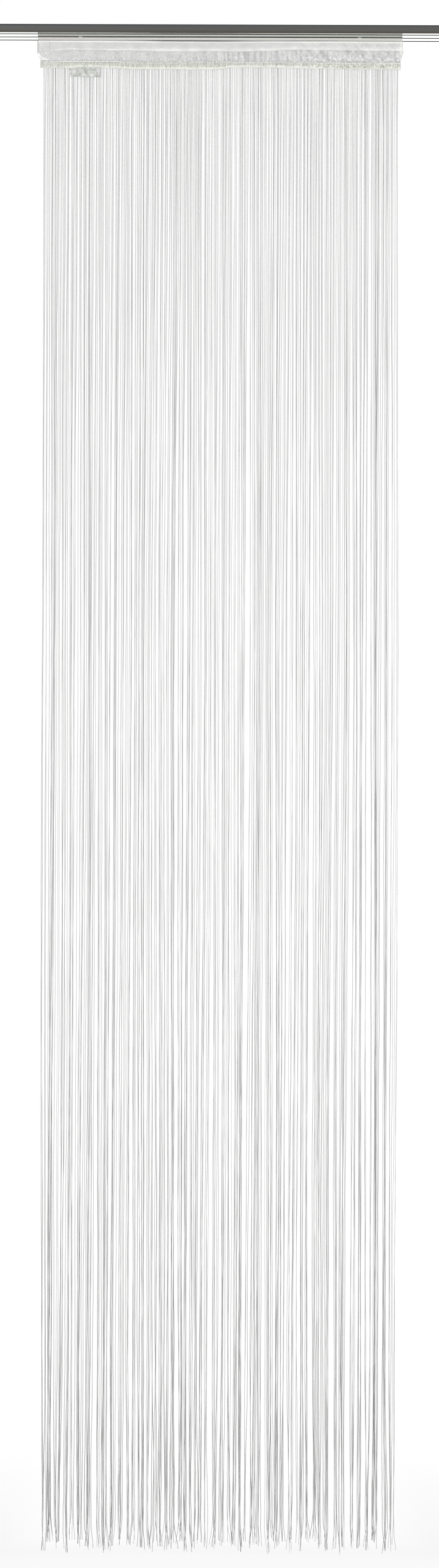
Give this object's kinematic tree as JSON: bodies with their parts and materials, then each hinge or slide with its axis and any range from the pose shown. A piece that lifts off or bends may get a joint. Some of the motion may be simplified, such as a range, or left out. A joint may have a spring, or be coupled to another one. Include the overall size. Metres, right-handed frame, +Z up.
{
  "type": "string panel curtain with rail",
  "caption": "Sliding panel curtain of long free-hanging white strings under a sheer heading tape, hung by gliders from a multi-track aluminium rail.",
  "frame": {"origin": "centre of the rail's top face", "axes": "+X along the rail, to the right seen from the front; the curtain's face looks along -Y; +Z up"},
  "size_m": [0.9, 0.06, 2.5048],
  "materials": {
    "anodised_aluminium": "satin anodised, dark grey on its face and polished below",
    "satin_aluminium": "pale satin anodised",
    "glider_plastic": "moulded off-white nylon",
    "sheer_white_tape": "sheer white woven nylon, gathered and crumpled",
    "white_yarn": "twisted white polyester yarn with a soft sheen",
    "label_ribbon": "thin blank satin ribbon"
  },
  "bodies": {
    "root": {"rail": "anodised_aluminium", "carrier": "satin_aluminium", "glider_left": "glider_plastic", "glider_right": "glider_plastic", "heading_tape": "sheer_white_tape", "string_fringe": "white_yarn", "care_label": "label_ribbon"}
  },
  "joints": []
}
